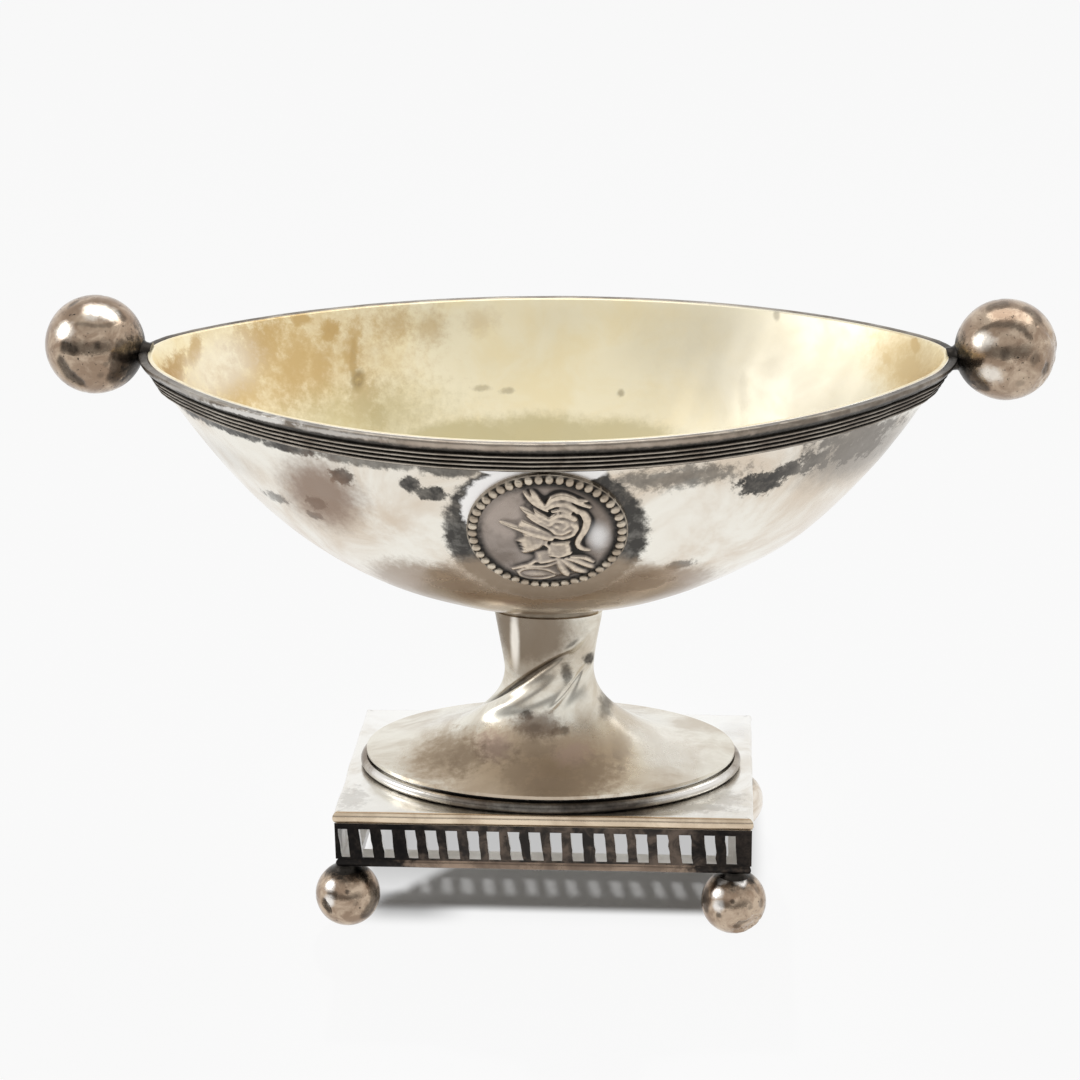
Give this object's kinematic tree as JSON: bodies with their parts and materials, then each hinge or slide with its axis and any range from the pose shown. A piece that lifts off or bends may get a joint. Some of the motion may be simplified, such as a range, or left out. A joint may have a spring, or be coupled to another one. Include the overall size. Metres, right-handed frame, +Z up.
{
  "type": "salt cellar",
  "caption": "Boat-shaped silver salt cellar with gilt inside, reeded rim, ball terminals and a round medallion, on an oval trumpet foot and a pierced plinth with ball feet; holds table salt.",
  "frame": {"origin": "on the table, under the middle of the plinth", "axes": "+Z up; X along the bowl from tip to tip, +X to the right; the medallion is on the front, which faces -Y"},
  "size_m": [0.126, 0.0678, 0.079],
  "materials": {
    "tarnished_silver": "old polished silver with warm tarnish and dark stains; the inside of the bowl is worn pale gilding",
    "worn_silver": "mouldings and medallion in silver, bright on the worn crests and nearly black in the grooves",
    "bronzed_silver": "hollow balls of silver with brown tarnish, small pits and dents",
    "oxidised_silver": "silver left black with tarnish where a cloth doesn't reach"
  },
  "bodies": {
    "root": {"border_front": "worn_silver", "border_left": "worn_silver", "border_rear": "worn_silver", "border_right": "worn_silver", "bowl": "tarnished_silver", "foot_front_left_lower": "bronzed_silver", "foot_front_left_neck": "oxidised_silver", "foot_front_left_upper": "bronzed_silver", "foot_front_right_lower": "bronzed_silver", "foot_front_right_neck": "oxidised_silver", "foot_front_right_upper": "bronzed_silver", "foot_rear_left_lower": "bronzed_silver", "foot_rear_left_neck": "oxidised_silver", "foot_rear_left_upper": "bronzed_silver", "foot_rear_right_lower": "bronzed_silver", "foot_rear_right_neck": "oxidised_silver", "foot_rear_right_upper": "bronzed_silver", "foot_ring": "tarnished_silver", "gallery_front": "oxidised_silver", "gallery_left": "oxidised_silver", "gallery_rear": "oxidised_silver", "gallery_right": "oxidised_silver", "medallion": "worn_silver", "plinth_plate": "tarnished_silver", "rail_front": "worn_silver", "rail_left": "worn_silver", "rail_rear": "worn_silver", "rail_right": "worn_silver", "rim_moulding_front": "worn_silver", "rim_moulding_rear": "worn_silver", "stem_collar": "tarnished_silver", "terminal_left_inner": "bronzed_silver", "terminal_left_neck": "oxidised_silver", "terminal_left_outer": "bronzed_silver", "terminal_right_inner": "bronzed_silver", "terminal_right_neck": "oxidised_silver", "terminal_right_outer": "bronzed_silver", "trumpet_foot": "tarnished_silver"}
  },
  "joints": []
}
